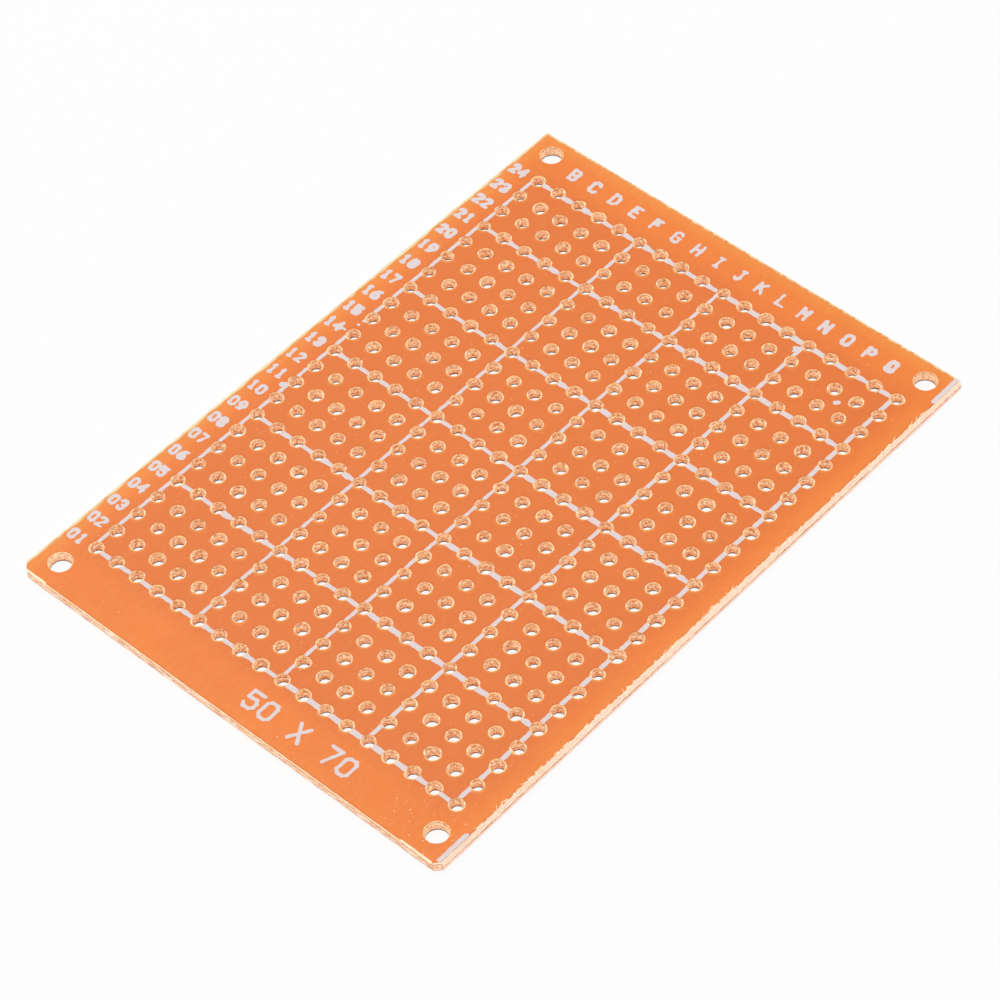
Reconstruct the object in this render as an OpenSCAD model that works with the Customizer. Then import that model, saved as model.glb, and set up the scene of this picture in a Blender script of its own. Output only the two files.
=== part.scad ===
// Prototype board: a punched paper-phenolic panel with a ring of copper round
// every hole on its underside and a white printed grid on its component side.
// X runs across the columns, Y along the rows, Z up. The origin is under the
// middle of the panel, at the level that the copper rings stand on.

/* [Hole grid] */
// Distance from one hole to the next, both ways
pitch = 2.54; // [2.3:0.01:3]
// Number of holes across the panel
columns = 18; // [8:1:30]
// Number of holes along the panel
rows = 24; // [8:1:40]
// Diameter of a punched lead hole
lead_hole_d = 1.22; // [0.8:0.01:1.3]
// Diameter of the broken rim round a lead hole
lead_rim_d = 1.42; // [1.32:0.01:1.6]

/* [Panel] */
// Thickness of the laminate
laminate_t = 1.1; // [0.8:0.05:1.6]
// From the first column's holes to the snapped edge beside them
first_column_margin = 3.8; // [2.5:0.01:6]
// From the last column's holes to the snapped edge beside them
last_column_margin = 3.14; // [2.5:0.01:6]
// From the first row's holes to the sheared end beside them
first_row_margin = 5.75; // [5.5:0.01:9]
// From the last row's holes to the sheared end beside them
last_row_margin = 5.41; // [5:0.01:9]

/* [Mounting holes] */
// Diameter of a mounting hole
mount_hole_d = 2.1; // [1.6:0.05:2.3]
// Diameter of the broken rim round a mounting hole
mount_rim_d = 2.4; // [2.32:0.01:2.6]
// From a mounting hole's axis to the snapped edge beside it
mount_side_inset = 2.5; // [2:0.05:3.5]
// From a mounting hole's axis to the sheared end by the first row
mount_first_inset = 2.55; // [1.8:0.05:3]
// From a mounting hole's axis to the sheared end by the last row
mount_last_inset = 2.05; // [1.8:0.05:3]

/* [Edges and rims] */
// Depth of the score line on the component side
score_top_depth = 0.58; // [0.1:0.01:0.6]
// Depth of the score line on the copper side
score_bottom_depth = 0.16; // [0.01:0.01:0.18]
// Half of the angle of the scoring cutter
score_half_angle = 20; // [10:1:35]
// Cut on the corner by the first column and the first row
first_corner_cut = 0.84; // [0.3:0.02:1.4]
// Cut on the corner by the last column and the first row
last_corner_cut = 0.68; // [0.3:0.02:1.4]
// Depth to which the rim of a hole broke away under the punch
rim_depth = 0.14; // [0.05:0.01:0.4]
// Width of the chipped strips on the rim of the front end
chip_w = 0.12; // [0.05:0.01:0.3]
// How far the chipped strip runs from the first column's edge
first_chip_l = 3.2; // [2:0.1:8]
// How far the chipped strip runs from the last column's edge
last_chip_l = 4.4; // [2:0.1:8]

/* [Copper] */
// Width of a copper ring, from the hole to its outer edge
ring_w = 0.35; // [0.2:0.01:0.45]
// Thickness of the copper
copper_t = 0.035; // [0.018:0.001:0.07]

/* [White print] */
// Thickness of the ink
ink_t = 0.02; // [0.01:0.005:0.05]
// Width of the lines that run along the panel
long_line_w = 0.4; // [0.2:0.01:0.6]
// Width of the lines that run across the panel
cross_line_w = 0.5; // [0.2:0.01:0.6]
// Number of holes from one printed line to the next
line_step = 4; // [2:1:7]
// How far the print lies across from the holes
print_shift_x = -0.37; // [-0.5:0.01:0.5]
// How far the print lies along from the holes
print_shift_y = -0.1; // [-0.5:0.01:0.5]
// How much wider the print is than the grid of holes
print_growth = 0.12; // [0:0.01:0.3]
// Width of the marks on the two corners by the last column
corner_mark_w = 0.42; // [0.1:0.01:0.6]
// How far the mark runs from the sheared end by the first row
first_mark_l = 3.9; // [2:0.1:8]
// How far the mark runs from the sheared end by the last row
last_mark_l = 3.65; // [2:0.1:8]

/* [Hidden] */
function two_digits(n) = n < 10 ? str("0", n) : str(n);
function pad_row_name(r) = str("pads_row_", two_digits(r + 1));

laminate_colour = [0.93, 0.51, 0.27];
copper_colour = [0.80, 0.46, 0.28];
ink_colour = [0.90, 0.86, 0.90];

hole_fn = 48;
// Spare length that a cutter runs past the faces it cuts
past = 1;

board_w = first_column_margin + (columns - 1) * pitch + last_column_margin;
board_l = first_row_margin + (rows - 1) * pitch + last_row_margin;
first_edge_x = -board_w / 2;
last_edge_x = board_w / 2;
first_end_y = -board_l / 2;
last_end_y = board_l / 2;
underside_z = copper_t;
top_z = underside_z + laminate_t;

// How far the slanted cutter went in from a long edge, at each face
top_score_w = score_top_depth * tan(score_half_angle);
bottom_score_w = score_bottom_depth * tan(score_half_angle);

function column_x(c) = first_edge_x + first_column_margin + c * pitch;
function row_y(r) = first_end_y + first_row_margin + r * pitch;
function line_x(c) = column_x(c) + print_shift_x + print_growth * (c / (columns - 1) - 1 / 2);
function line_y(r) = row_y(r) + print_shift_y;

// The first and the last column have a line, and every fourth one back from the last
line_columns = [0, for (c = [columns - 1 : -line_step : line_step]) c];
// The first and the last row have a line, and every fourth one on from the first
line_rows = [for (r = [0 : line_step : rows - 2]) r, rows - 1];

// The panel's section across its width: both long edges were scored from both
// faces and snapped, which leaves an upright web between two slanted faces.
module panel_section() {
    polygon([
        [first_edge_x + bottom_score_w, underside_z],
        [last_edge_x - bottom_score_w, underside_z],
        [last_edge_x, underside_z + score_bottom_depth],
        [last_edge_x, top_z - score_top_depth],
        [last_edge_x - top_score_w, top_z],
        [first_edge_x + top_score_w, top_z],
        [first_edge_x, top_z - score_top_depth],
        [first_edge_x, underside_z + score_bottom_depth]
    ]);
}

// A prism that takes a slanted piece off a corner of the front end
module corner_cutter(side, cut) {
    reach = cut + past;
    translate([side * board_w / 2, first_end_y, underside_z - past])
        linear_extrude(laminate_t + 2 * past)
            polygon([[-side * reach, -past], [side * past, -past], [side * past, reach]]);
}

// A prism that takes the chipped strip off the upper rim of the front end
module chip_cutter(from_x, length) {
    translate([from_x, first_end_y, top_z])
        rotate([90, 0, 90])
            linear_extrude(length)
                polygon([[-past, -chip_w - past], [chip_w + past, past], [-past, past]]);
}

// What a punch takes out: a straight hole whose rim has broken away on top
module punched_hole(hole_d, rim_d) {
    rotate_extrude($fn = hole_fn)
        polygon([
            [0, underside_z - past],
            [hole_d / 2, underside_z - past],
            [hole_d / 2, top_z - rim_depth],
            [rim_d / 2, top_z],
            [rim_d / 2, top_z + past],
            [0, top_z + past]
        ]);
}

module board() {
    mount_xs = [first_edge_x + mount_side_inset, last_edge_x - mount_side_inset];
    mount_ys = [first_end_y + mount_first_inset, last_end_y - mount_last_inset];
    color(laminate_colour) difference() {
        translate([0, last_end_y, 0])
            rotate([90, 0, 0])
                linear_extrude(board_l) panel_section();
        corner_cutter(-1, first_corner_cut);
        corner_cutter(1, last_corner_cut);
        chip_cutter(first_edge_x, first_chip_l);
        chip_cutter(last_edge_x - last_chip_l, last_chip_l);
        for (c = [0 : columns - 1], r = [0 : rows - 1])
            translate([column_x(c), row_y(r), 0]) punched_hole(lead_hole_d, lead_rim_d);
        for (x = mount_xs, y = mount_ys)
            translate([x, y, 0]) punched_hole(mount_hole_d, mount_rim_d);
    }
}

// A row of copper rings on the underside, one round each hole
module pads_row(r) {
    color(copper_colour)
        for (c = [0 : columns - 1])
            translate([column_x(c), row_y(r), 0])
                linear_extrude(copper_t)
                    difference() {
                        circle(d = lead_hole_d + 2 * ring_w, $fn = hole_fn);
                        circle(d = lead_hole_d, $fn = hole_fn);
                    }
}

// The outline of one printed line, from the first to the last that crosses it
module long_line(c) {
    translate([line_x(c) - long_line_w / 2, line_y(0) - cross_line_w / 2])
        square([long_line_w, line_y(rows - 1) - line_y(0) + cross_line_w]);
}

module cross_line(r) {
    translate([line_x(0) - long_line_w / 2, line_y(r) - cross_line_w / 2])
        square([line_x(columns - 1) - line_x(0) + long_line_w, cross_line_w]);
}

// The long and the cross lines, broken where they meet the rims of the holes
module printed_grid() {
    color(ink_colour)
        translate([0, 0, top_z])
            linear_extrude(ink_t)
                difference() {
                    union() {
                        for (c = line_columns) long_line(c);
                        for (r = line_rows) cross_line(r);
                    }
                    for (c = [0 : columns - 1], r = [0 : rows - 1])
                        translate([column_x(c), row_y(r)])
                            circle(d = lead_rim_d, $fn = hole_fn);
                }
}

// Two short strips on top of the long edge by the last column, at its two ends
module corner_marks() {
    mark_x = last_edge_x - top_score_w - corner_mark_w;
    from_y = first_end_y + last_corner_cut;
    color(ink_colour)
        translate([mark_x, 0, top_z])
            linear_extrude(ink_t) {
                translate([0, from_y])
                    square([corner_mark_w, first_end_y + first_mark_l - from_y]);
                translate([0, last_end_y - last_mark_l])
                    square([corner_mark_w, last_mark_l]);
            }
}

board();
printed_grid();
corner_marks();
for (r = [0 : rows - 1])
    pads_row(r);
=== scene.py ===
import math
from functools import partial

import bmesh
import bpy
import numpy as np
from mathutils import Matrix, Vector
from mathutils.geometry import delaunay_2d_cdt


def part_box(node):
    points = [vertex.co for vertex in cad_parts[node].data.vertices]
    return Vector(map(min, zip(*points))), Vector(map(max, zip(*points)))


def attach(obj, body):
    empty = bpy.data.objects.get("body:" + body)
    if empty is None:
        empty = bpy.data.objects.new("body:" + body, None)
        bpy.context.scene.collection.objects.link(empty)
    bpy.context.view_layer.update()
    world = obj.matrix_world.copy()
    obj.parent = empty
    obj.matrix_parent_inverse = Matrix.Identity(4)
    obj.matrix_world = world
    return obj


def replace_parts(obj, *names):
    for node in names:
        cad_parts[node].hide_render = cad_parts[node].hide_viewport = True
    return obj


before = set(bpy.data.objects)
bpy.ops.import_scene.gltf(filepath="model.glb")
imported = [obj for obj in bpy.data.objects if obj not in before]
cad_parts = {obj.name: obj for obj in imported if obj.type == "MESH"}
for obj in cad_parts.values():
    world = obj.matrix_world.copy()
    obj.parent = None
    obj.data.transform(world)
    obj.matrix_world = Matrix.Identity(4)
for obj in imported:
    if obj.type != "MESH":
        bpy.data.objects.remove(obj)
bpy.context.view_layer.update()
mm = 0.001  # every size below is in millimetres, the scene is in metres
print("frame loaded with", len(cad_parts), "nodes")

scene = bpy.context.scene
scene.view_settings.view_transform = "Standard"


# The hole grid and the panel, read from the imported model

padRows = sorted(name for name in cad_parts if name.startswith("pads_row_"))
firstRowLow, firstRowHigh = (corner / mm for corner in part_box(padRows[0]))
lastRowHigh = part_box(padRows[-1])[1] / mm
boardLow, boardHigh = (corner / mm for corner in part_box("board"))
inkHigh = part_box("printed_grid")[1] / mm

pitch = 2.54
columns = int((firstRowHigh.x - firstRowLow.x) / pitch) + 1
rows = len(padRows)
gridCentre = Vector(((firstRowLow.x + firstRowHigh.x) / 2, (firstRowLow.y + lastRowHigh.y) / 2, 0))
topZ, undersideZ = boardHigh.z, boardLow.z
topFaceEdge = boardHigh.x - 0.21  # where the scored edges cut the top face off


def columnX(column):
    return gridCentre.x + (column - (columns - 1) / 2) * pitch


def rowY(row):
    return gridCentre.y + (row - (rows - 1) / 2) * pitch


print("grid of", columns, "by", rows, "holes")


# Camera, floor and light

photoCamera = {
    "azimuth": 45.55,  # degrees round the board, 0 looks along +Y
    "elevation": 49.79,
    "roll": 4.45,
    "aim": (0.27, 0.26),  # a point on the panel's top face
    "distance": 364.46,  # from that point
    "lens": 147.5,
    "sensor": 36,
    "slideRight": -0.03,  # of the camera, in the picture's plane
    "slideUp": -2.5,
    "nearest": 20,
    "farthest": 20000,
}
studio = {
    "floorSize": 6000,
    "floorDrop": 0.03,
    "floorColour": (252, 252, 252),
    "floorGlow": 0.9,  # share of the floor that shows as plain white paper
    "skyStrength": 0.62,
    "keyStrength": 1.15,
    "keySize": 900,
    "keyDistance": 1400,
    "keyAzimuth": 250,
    "keyElevation": 62,
}


# sRGB bytes to a linear colour
def tint(red, green, blue):
    return tuple((c / 255 / 12.92) if c < 10.3 else ((c / 255 + 0.055) / 1.055) ** 2.4
                 for c in (red, green, blue)) + (1.0,)


def addObject(name, data):
    made = bpy.data.objects.new(name, data)
    scene.collection.objects.link(made)
    return made


def lookingFrom(azimuth, elevation):
    a, e = math.radians(azimuth), math.radians(elevation)
    return Vector((math.sin(a) * math.cos(e), -math.cos(a) * math.cos(e), math.sin(e)))


def addCamera(look):
    back = lookingFrom(look["azimuth"], look["elevation"])
    level = back.to_track_quat("Z", "Y").to_matrix()
    turned = level @ Matrix.Rotation(math.radians(-look["roll"]), 3, "Z")
    right, up = turned.col[0], turned.col[1]
    aim = Vector((*look["aim"], topZ)) + right * look["slideRight"] + up * look["slideUp"]
    data = bpy.data.cameras.new("photoCamera")
    data.lens, data.sensor_width = look["lens"], look["sensor"]
    data.clip_start, data.clip_end = look["nearest"] * mm, look["farthest"] * mm
    scene.camera = addObject("photoCamera", data)
    scene.camera.matrix_world = Matrix.Translation((aim + back * look["distance"]) * mm) @ turned.to_4x4()


# Joins a socket to what feeds it, or sets its plain value
def feed(socket, value):
    if isinstance(value, bpy.types.NodeSocket):
        socket.id_data.links.new(value, socket)
    else:
        socket.default_value = value


# One node, with its sockets fed by name or by number
def addNode(tree, kind, sockets=None, **settings):
    made = tree.nodes.new(kind)
    for name, value in settings.items():
        setattr(made, name, value)
    for key, value in (sockets or {}).items():
        feed(made.inputs[key], value)
    return made


# The tree that the first socket among some values lies in
def treeOf(values):
    return next(value.id_data for value in values if isinstance(value, bpy.types.NodeSocket))


def calc(operation, *values, clamp=False):
    return addNode(treeOf(values), "ShaderNodeMath", dict(enumerate(values)), operation=operation,
                   use_clamp=clamp).outputs[0]


times, plus, minus, timesPlus, absolute, least, most = (
    partial(calc, kind)
    for kind in ("MULTIPLY", "ADD", "SUBTRACT", "MULTIPLY_ADD", "ABSOLUTE", "MINIMUM", "MAXIMUM"))


def vectorCalc(operation, *values, output=0):
    return addNode(treeOf(values), "ShaderNodeVectorMath", dict(enumerate(values)),
                   operation=operation).outputs[output]


def scaled(vector, factor):
    return addNode(vector.id_data, "ShaderNodeVectorMath", {0: vector, "Scale": factor},
                   operation="SCALE").outputs[0]


def split(vector):
    return addNode(vector.id_data, "ShaderNodeSeparateXYZ", {0: vector}).outputs


def combine(x, y, z=0.0):
    return addNode(treeOf((x, y, z)), "ShaderNodeCombineXYZ", {0: x, 1: y, 2: z}).outputs[0]


def noise(vector, scale, detail=2.0, roughness=0.5):
    return addNode(vector.id_data, "ShaderNodeTexNoise", {"Vector": vector, "Scale": scale, "Detail": detail,
                                                          "Roughness": roughness}).outputs[0]


# A mask that goes softly from low, where the value is at start, to high, where it is at end
def softStep(value, start, end, low=0.0, high=1.0):
    return addNode(value.id_data, "ShaderNodeMapRange", {0: value, 1: start, 2: end, 3: low, 4: high},
                   interpolation_type="SMOOTHSTEP").outputs[0]


# The same, with start and end measured from a level
def levelStep(value, level, start, end, *strengths):
    return softStep(value, level + start, level + end, *strengths)


def blendColour(factor, first, second):
    return addNode(factor.id_data, "ShaderNodeMix", {0: factor, 6: first, 7: second},
                   data_type="RGBA").outputs[2]


# Lays colours of the look over one another, each where its mask says
def layered(look, colour, *layers):
    for name, mask in layers:
        colour = blendColour(mask, colour, tint(*look[name]))
    return colour


# 1 for rays from the camera, and for what gloss and glass show
def seenDirectly(tree):
    rays = tree.nodes.new("ShaderNodeLightPath").outputs
    return plus(plus(rays["Is Camera Ray"], rays["Is Glossy Ray"]), rays["Is Transmission Ray"], clamp=True)


def addWorld(look):
    scene.world = bpy.data.worlds.new("studio")
    scene.world.use_nodes = True
    background = scene.world.node_tree.nodes["Background"].inputs
    sky = look["skyStrength"]
    feed(background["Strength"], timesPlus(seenDirectly(scene.world.node_tree), 1 - sky, sky))
    feed(background["Color"], (1, 1, 1, 1))


def addFloor(look):
    half, z = look["floorSize"] * mm / 2, -look["floorDrop"] * mm
    corners = [(-half, -half, z), (half, -half, z), (half, half, z), (-half, half, z)]
    data = bpy.data.meshes.new("floor")
    data.from_pydata(corners, [], [(0, 1, 2, 3)])
    paper = bpy.data.materials.new("floorPaper")
    paper.use_nodes = True
    tree = paper.node_tree
    tree.nodes.clear()
    diffuse = addNode(tree, "ShaderNodeBsdfDiffuse", {"Color": tint(*look["floorColour"])})
    white = addNode(tree, "ShaderNodeEmission", {"Color": (1, 1, 1, 1), "Strength": 1.0})
    share = times(seenDirectly(tree), look["floorGlow"])
    mixed = addNode(tree, "ShaderNodeMixShader", {0: share, 1: diffuse.outputs[0], 2: white.outputs[0]})
    addNode(tree, "ShaderNodeOutputMaterial", {"Surface": mixed.outputs[0]})
    data.materials.append(paper)
    floor = addObject("floor", data)


def addKeyLight(look):
    data = bpy.data.lights.new("keyLight", "AREA")
    data.size = look["keySize"] * mm
    towards = lookingFrom(look["keyAzimuth"], look["keyElevation"])
    distance = look["keyDistance"] * mm
    data.energy = look["keyStrength"] * math.pi * distance ** 2
    light = addObject("keyLight", data)
    light.location = towards * distance
    light.rotation_euler = towards.to_track_quat("Z", "Y").to_euler()


addCamera(photoCamera)
addWorld(studio)
addFloor(studio)
addKeyLight(studio)
print("camera, floor and light are set")


# Shader node groups that the materials share

socketKinds = {float: "NodeSocketFloat", int: "NodeSocketInt", tuple: "NodeSocketVector",
               type(None): "NodeSocketMaterial"}


# A node group from its inputs' names and plain values and its outputs' names; a tree for geometry
# has no named outputs
def newGroup(name, inputs, outputs):
    group = bpy.data.node_groups.new(name, "ShaderNodeTree" if outputs else "GeometryNodeTree")
    newSocket = group.interface.new_socket
    if not outputs:
        for way in ("INPUT", "OUTPUT"):
            newSocket("Geometry", in_out=way, socket_type="NodeSocketGeometry")
    for socketName, value in inputs.items():
        socket = newSocket(socketName, in_out="INPUT", socket_type=socketKinds[type(value)])
        if value is not None:
            socket.default_value = value
    for socketName in outputs:
        newSocket(socketName, in_out="OUTPUT", socket_type="NodeSocketFloat")
    return group, group.nodes.new("NodeGroupInput").outputs, group.nodes.new("NodeGroupOutput").inputs


def useGroup(tree, group, values=None):
    made = tree.nodes.new("ShaderNodeGroup")
    made.node_tree = group
    for name, value in (values or {}).items():
        feed(made.inputs[name], value)
    return made.outputs


# The point's place on the board in millimetres
def objectPlace(tree):
    return vectorCalc("MULTIPLY", tree.nodes.new("ShaderNodeTexCoord").outputs["Object"], (1 / mm,) * 3)


grainLook = {
    "clouds": (0.16, 3.0),  # each noise's scale, detail and roughness
    "fine": (2.6, 4.0, 0.6),
    "strands": (3.2, 2.0),
    "strandStretch": (1.0, 0.22, 1.0),
    "cloudShare": 0.35,
    "fineShare": 0.45,
    "strandShare": 0.2,
}


# Cloudy tone and fine paper fibre under the resin's surface
def fibreGrainGroup(look):
    group, _, out = newGroup("fibreGrain", {}, ["Tone", "Relief"])
    place = objectPlace(group)
    strands = noise(vectorCalc("MULTIPLY", place, look["strandStretch"]), *look["strands"])
    tone = times(noise(place, *look["clouds"]), look["cloudShare"])
    tone = timesPlus(noise(place, *look["fine"]), look["fineShare"], tone)
    feed(out["Tone"], timesPlus(strands, look["strandShare"], tone))
    feed(out["Relief"], strands)
    return group


paintedLightSide = (0.60, -0.80, 0.0)  # the side of each hole towards the front right, away from the key light; colour round the holes paints light on this side and shade on the other
gridFades = (-0.4, 2.6, 1.0, 0.0)  # from just inside the outer rows to beyond them


# Distance to the nearest lead hole's axis, how far the point lies towards that hole's painted-light side, and
# how far inside the grid a point lies
def nearestHoleGroup():
    group, _, out = newGroup("nearestHole", {}, ["Distance", "Side", "Grid"])
    place = split(objectPlace(group))
    offsets, depths = [], []
    for axis, count in enumerate((columns, rows)):
        middle, half = gridCentre[axis], (count - 1) / 2 * pitch
        fromFirst = minus(place[axis], middle - half)
        cell = least(most(calc("ROUND", calc("DIVIDE", fromFirst, pitch)), 0.0), count - 1.0)
        offsets.append(minus(fromFirst, times(cell, pitch)))
        away = absolute(minus(place[axis], middle))
        depths.append(levelStep(away, half, *gridFades))
    offset = combine(*offsets)
    feed(out["Distance"], vectorCalc("LENGTH", offset, output=1))
    feed(out["Side"], vectorCalc("DOT_PRODUCT", vectorCalc("NORMALIZE", offset), paintedLightSide, output=1))
    feed(out["Grid"], times(*depths))
    return group


# Distances from the panel's outline and from the two edges that lie away from the camera
def outlineGroup():
    group, _, out = newGroup("outline", {}, ["Inside", "FarInside"])
    place = split(objectPlace(group))
    feed(out["Inside"], least(minus(topFaceEdge, absolute(place[0])), minus(boardHigh.y, absolute(place[1]))))
    feed(out["FarInside"], least(plus(place[0], topFaceEdge), minus(boardHigh.y, place[1])))
    return group


layerNoise = {"streaks": (1.3, 5.0, 0.65), "spots": (3.1, 3.0)}  # scale, detail and roughness


# Broken paper layers: streaks that run level, closer together where the stretch is larger
def layerStreaksGroup(look):
    inputs = {"Fineness": 1.0, "Stretch": (1.0, 1.0, 3.0)}
    group, get, out = newGroup("layerStreaks", inputs, ["Streaks", "Spots"])
    place = objectPlace(group)
    stretched = scaled(vectorCalc("MULTIPLY", place, get["Stretch"]), get["Fineness"])
    feed(out["Streaks"], noise(stretched, *look["streaks"]))
    feed(out["Spots"], noise(place, *look["spots"]))
    return group


dustThins = (3.2, 4.6, 1.0, 0.0)  # from and to this far from the dusty corner


# Small pale specks: many round one corner, few elsewhere
def dustGroup():
    inputs = {"Fineness": 1.0, "Few": 0.02, "Many": 0.4, "Smallest": 0.05, "Spread": 0.07,
              "Corner": (0.0, 0.0, 0.0)}
    group, get, out = newGroup("dust", inputs, ["Mask"])
    place = objectPlace(group)
    cells = addNode(group, "ShaderNodeTexVoronoi", {"Vector": place, "Scale": get["Fineness"]},
                    voronoi_dimensions="2D").outputs
    near = softStep(vectorCalc("DISTANCE", place, get["Corner"], output=1), *dustThins)
    share = timesPlus(near, minus(get["Many"], get["Few"]), get["Few"])
    chosen = addNode(group, "ShaderNodeSeparateColor", {0: cells["Color"]}).outputs
    reach = times(timesPlus(chosen[1], get["Spread"], get["Smallest"]), get["Fineness"])
    speck = calc("LESS_THAN", cells["Distance"], reach)
    feed(out["Mask"], times(calc("LESS_THAN", chosen[0], share), speck))
    return group


fibreGrain = fibreGrainGroup(grainLook)
nearestHole = nearestHoleGroup()
outline = outlineGroup()
layerStreaks = layerStreaksGroup(layerNoise)
dust = dustGroup()


# Materials

def newMaterial(name, roughness, specular=0.5):
    material = bpy.data.materials.new(name)
    material.use_nodes = True
    shader = material.node_tree.nodes["Principled BSDF"].inputs
    feed(shader["Roughness"], roughness)
    feed(shader["Specular IOR Level"], specular)
    return material, material.node_tree, shader


# A shader's colour, its relief as (height, depth, strength), and the light that pale paper lets through,
# painted as a glow in the paper's own colour
def dressShader(shader, colour, relief=None, paintedGlow=None):
    feed(shader["Base Color"], colour)
    if relief:
        height, depth, strength = relief
        bump = {"Height": height, "Distance": depth * mm, "Strength": strength}
        feed(shader["Normal"], addNode(height.id_data, "ShaderNodeBump", bump).outputs[0])
    if paintedGlow:
        feed(shader["Emission Color"], colour)
        feed(shader["Emission Strength"], paintedGlow)


laminateLook = {
    "overCopper": (240, 122, 38),  # where the rings behind it hold the light back
    "clear": (253, 134, 42),
    # painted light: paler near the outline, most along the far edges
    "paintedEdgeLight": (255, 158, 62),
    # painted light: a paler ring round each hole on its painted-light side
    "paintedHoleLight": (250, 166, 72),
    "farGlow": (255, 243, 194),  # light that comes out again along the far edges
    # darker orange: random mottle, a darker band along the outline, and painted shade on the far side of each
    # hole
    "deepToneAndShade": (222, 108, 34),
    "speck": (255, 224, 188),
    "fineSpeck": (255, 206, 160),
    "under": (214, 124, 66),
    "underMottle": (196, 104, 52),
    "underResin": (176, 92, 40),
    "roughness": 0.42,
    "roughSwing": 0.18,
    # soft steps: where each starts and ends, and how strong it is there
    "paintedHoleLightStep": (0.74, 0.98, 0.5, 0.0),
    "paintedHoleLightSide": (-0.2, 0.8),
    "shadeStep": (0.76, 0.98, 0.5, 0.0),
    "shadeSide": (0.2, -0.8),
    "paintedEdgeLightStep": (0.0, 1.6, 0.2, 0.0),
    "paintedFarEdgeLightStep": (0.0, 2.0, 0.6, 0.0),
    "mottleStep": (0.38, 0.62, 0.0, 0.22),
    "rimLineStep": (0.06, 0.24, 0.4, 0.0),
    "farGlowStep": (0.0, 0.28, 0.9, 0.0),
    "farGlowTorn": 0.5,
    "underMottleStep": (0.34, 0.62, 0.0, 0.6),
    "underResinStep": (0.95, 1.25, 0.35, 0.0),
    "speckStrength": 0.85,
    "fineSpeckStrength": 0.8,
    "dustyCorner": (boardHigh.x - 4.0, boardLow.y + 2.3, topZ),
    "specks": {"Fineness": 1.1, "Few": 0.012, "Many": 0.55, "Smallest": 0.022, "Spread": 0.04},
    "fineSpecks": {"Fineness": 1.9, "Few": 0.06, "Many": 0.45, "Smallest": 0.02, "Spread": 0.03},
}


def laminateFaceMaterial(look):
    material, tree, shader = newMaterial("laminateFace", look["roughness"], 0.35)
    hole, grain, edge = (useGroup(tree, group) for group in (nearestHole, fibreGrain, outline))
    side, distance = hole["Side"], hole["Distance"]
    ragged = timesPlus(minus(grain["Relief"], 0.5), look["farGlowTorn"], edge["FarInside"])
    specks, fineSpecks = (useGroup(tree, dust, {**look[name], "Corner": look["dustyCorner"]})["Mask"]
                          for name in ("specks", "fineSpecks"))
    colour = layered(
        look, tint(*look["clear"]),
        ("overCopper", hole["Grid"]),
        # painted light round each hole on its painted-light side
        ("paintedHoleLight", times(softStep(distance, *look["paintedHoleLightStep"]), softStep(side, *look["paintedHoleLightSide"]))),
        # painted shade round each hole on the side away from its painted light
        ("deepToneAndShade", times(softStep(distance, *look["shadeStep"]), softStep(side, *look["shadeSide"]))),
        # painted light along the outline and, stronger, along the far edges
        ("paintedEdgeLight", softStep(edge["Inside"], *look["paintedEdgeLightStep"])),
        ("paintedEdgeLight", softStep(edge["FarInside"], *look["paintedFarEdgeLightStep"])),
        ("deepToneAndShade", softStep(grain["Tone"], *look["mottleStep"])),
        ("deepToneAndShade", softStep(edge["Inside"], *look["rimLineStep"])),
        ("farGlow", softStep(ragged, *look["farGlowStep"])),
        ("speck", times(specks, look["speckStrength"])),
        ("fineSpeck", times(fineSpecks, look["fineSpeckStrength"])))
    swing = look["roughSwing"]
    feed(shader["Roughness"], timesPlus(grain["Relief"], swing, look["roughness"] - swing / 2))
    dressShader(shader, colour, (grain["Relief"], 0.012, 0.5))
    return material


def laminateUnderMaterial(look):
    material, tree, shader = newMaterial("laminateUnder", 0.5, 0.35)
    hole, grain = useGroup(tree, nearestHole), useGroup(tree, fibreGrain)
    colour = layered(
        look, tint(*look["under"]),
        ("underMottle", softStep(grain["Tone"], *look["underMottleStep"])),
        ("underResin", softStep(hole["Distance"], *look["underResinStep"])))
    dressShader(shader, colour, (grain["Relief"], 0.02, 0.6))
    return material


# Coarse and fine broken layers, each as (fineness, stretch), and the height on the board
def brokenPaper(tree, *sizes):
    layers = [useGroup(tree, layerStreaks, {"Fineness": fineness, "Stretch": stretch})
              for fineness, stretch in sizes]
    return *layers, split(objectPlace(tree))[2]


# Thin lines where noise crosses its middle
def crackMask(value, width, faded, strength):
    return softStep(absolute(minus(value, 0.5)), width, faded, strength, 0.0)


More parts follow.
